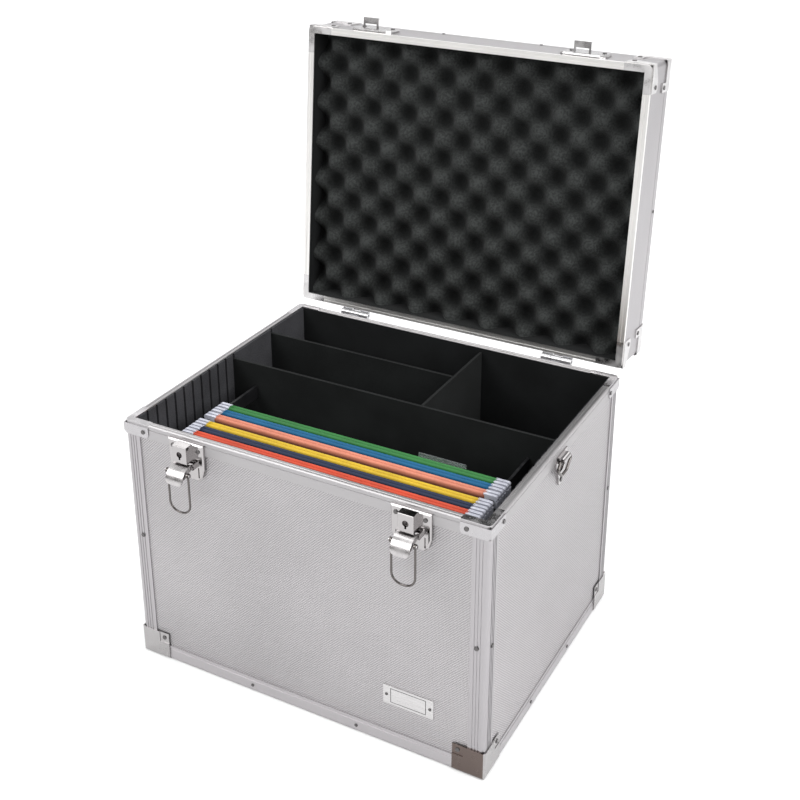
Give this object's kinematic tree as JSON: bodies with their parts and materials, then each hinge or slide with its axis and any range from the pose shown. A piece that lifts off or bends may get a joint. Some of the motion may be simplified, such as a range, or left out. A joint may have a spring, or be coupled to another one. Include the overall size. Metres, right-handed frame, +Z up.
{
  "type": "document case",
  "caption": "Aluminium-framed document case with an open foam-lined lid, draw latches with locks, hanging files and movable dividers.",
  "frame": {"origin": "on the floor, under the centre of the case's outline", "axes": "+X to the right, -Y to the front with the latches, +Z up"},
  "size_m": [0.4246, 0.4646, 0.6375],
  "materials": {
    "panel": "embossed, satin",
    "profile": "drawn, satin with bright lines",
    "cap": "polished",
    "plated": "bright plated",
    "steel": "brushed",
    "rivet": "plated",
    "felt": "short black pile",
    "board": "black covered board",
    "foam": "open cell, black",
    "plate": "blank, satin",
    "card_green": "matt",
    "card_blue": "matt",
    "card_salmon": "matt",
    "card_yellow": "matt",
    "card_navy": "matt",
    "card_orange": "matt",
    "clear_tab": "clear plastic",
    "grip": "moulded"
  },
  "bodies": {
    "case": {"case_panel_front": "panel", "case_panel_rear": "panel", "case_panel_left": "panel", "case_panel_right": "panel", "case_panel_bottom": "panel", "corner_posts": "profile", "base_edges": "profile", "rim_profiles": "profile", "base_caps": "cap", "rim_corner_plates": "cap", "latch_plate_left": "plated", "latch_plate_right": "plated", "lock_housing_left": "plated", "lock_housing_right": "plated", "strap_bracket_left": "plated", "strap_bracket_right": "plated", "hinge_case_leaves": "steel", "file_rail_left": "steel", "file_rail_right": "steel", "case_rivets": "rivet", "liner_left": "felt", "liner_right": "felt", "liner_front": "felt", "liner_rear": "felt", "liner_floor": "felt", "partition": "board", "name_plate": "plate"},
    "lid": {"lid_panel": "panel", "lid_side_strips": "profile", "lid_rim_profiles": "profile", "lid_edge_profiles": "profile", "lid_corner_caps": "cap", "lid_corner_plates": "cap", "lid_rivets": "rivet", "lid_liner": "felt", "lid_foam": "foam", "strike_left": "plated", "strike_right": "plated", "hinge_lid_leaves": "steel", "handle_mounts": "plated"},
    "handle": {"handle": "grip"},
    "lever_left": {"latch_lever_left": "plated"},
    "hanger_left": {"loop_pivot_left": "plated"},
    "loop_left": {"latch_loop_left": "plated"},
    "plug_left": {"lock_plug_left": "steel"},
    "ring_left": {"strap_ring_left": "plated"},
    "lever_right": {"latch_lever_right": "plated"},
    "hanger_right": {"loop_pivot_right": "plated"},
    "loop_right": {"latch_loop_right": "plated"},
    "plug_right": {"lock_plug_right": "steel"},
    "ring_right": {"strap_ring_right": "plated"},
    "divider_long": {"divider_long": "board"},
    "divider_cross": {"divider_cross": "board"},
    "file_orange": {"file_orange": "card_orange"},
    "file_navy": {"file_navy": "card_navy"},
    "file_yellow": {"file_yellow": "card_yellow"},
    "file_salmon": {"file_salmon": "card_salmon"},
    "file_blue": {"file_blue": "card_blue"},
    "file_green": {"file_green": "card_green", "index_tab": "clear_tab"}
  },
  "joints": [
    {"name": "lid_hinge", "type": "hinge", "parent": "case", "child": "lid", "pos_m": [0, 0.1704, 0.28825], "axis": [1, 0, 0], "range_deg": [0, 95.4]},
    {"name": "handle_hinge", "type": "hinge", "parent": "lid", "child": "handle", "pos_m": [0, 0.26633, 0.45034], "axis": [1, 0, 0], "range_deg": [-5.4, 90]},
    {"name": "lever_left", "type": "hinge", "parent": "case", "child": "lever_left", "pos_m": [-0.1266, -0.1718, 0.2602], "axis": [-1, 0, 0], "range_deg": [-45, 0]},
    {"name": "hanger_left", "type": "hinge", "parent": "lever_left", "child": "hanger_left", "pos_m": [-0.1266, -0.1826, 0.2564], "axis": [-1, 0, 0], "range_deg": [0, 45]},
    {"name": "loop_left", "type": "hinge", "parent": "hanger_left", "child": "loop_left", "pos_m": [-0.1266, -0.1826, 0.2564], "axis": [-1, 0, 0], "range_deg": [0, 180]},
    {"name": "key_left", "type": "hinge", "parent": "case", "child": "plug_left", "pos_m": [-0.1266, -0.1735, 0.2745], "axis": [0, -1, 0], "range_deg": [0, 90]},
    {"name": "ring_left", "type": "hinge", "parent": "case", "child": "ring_left", "pos_m": [-0.2089, 0, 0.2725], "axis": [0, 1, 0], "range_deg": [0, 150]},
    {"name": "lever_right", "type": "hinge", "parent": "case", "child": "lever_right", "pos_m": [0.1266, -0.1718, 0.2602], "axis": [-1, 0, 0], "range_deg": [-45, 0]},
    {"name": "hanger_right", "type": "hinge", "parent": "lever_right", "child": "hanger_right", "pos_m": [0.1266, -0.1826, 0.2564], "axis": [-1, 0, 0], "range_deg": [0, 45]},
    {"name": "loop_right", "type": "hinge", "parent": "hanger_right", "child": "loop_right", "pos_m": [0.1266, -0.1826, 0.2564], "axis": [-1, 0, 0], "range_deg": [0, 180]},
    {"name": "key_right", "type": "hinge", "parent": "case", "child": "plug_right", "pos_m": [0.1266, -0.1735, 0.2745], "axis": [0, -1, 0], "range_deg": [0, 90]},
    {"name": "ring_right", "type": "hinge", "parent": "case", "child": "ring_right", "pos_m": [0.2089, 0, 0.2725], "axis": [0, -1, 0], "range_deg": [0, 150]},
    {"name": "lift_divider_long", "type": "slide", "parent": "case", "child": "divider_long", "axis": [0, 0, -1], "range_m": [-0.3, 0]},
    {"name": "lift_divider_cross", "type": "slide", "parent": "case", "child": "divider_cross", "axis": [0, 0, -1], "range_m": [-0.3, 0]},
    {"name": "lift_file_orange", "type": "slide", "parent": "case", "child": "file_orange", "axis": [0, 0, -1], "range_m": [-0.3, 0]},
    {"name": "lift_file_navy", "type": "slide", "parent": "case", "child": "file_navy", "axis": [0, 0, -1], "range_m": [-0.3, 0]},
    {"name": "lift_file_yellow", "type": "slide", "parent": "case", "child": "file_yellow", "axis": [0, 0, -1], "range_m": [-0.3, 0]},
    {"name": "lift_file_salmon", "type": "slide", "parent": "case", "child": "file_salmon", "axis": [0, 0, -1], "range_m": [-0.3, 0]},
    {"name": "lift_file_blue", "type": "slide", "parent": "case", "child": "file_blue", "axis": [0, 0, -1], "range_m": [-0.3, 0]},
    {"name": "lift_file_green", "type": "slide", "parent": "case", "child": "file_green", "axis": [0, 0, -1], "range_m": [-0.3, 0]}
  ],
  "couplings": [
    {"joint": "hanger_left", "follows": "lever_left", "ratio": -1},
    {"joint": "hanger_right", "follows": "lever_right", "ratio": -1}
  ]
}
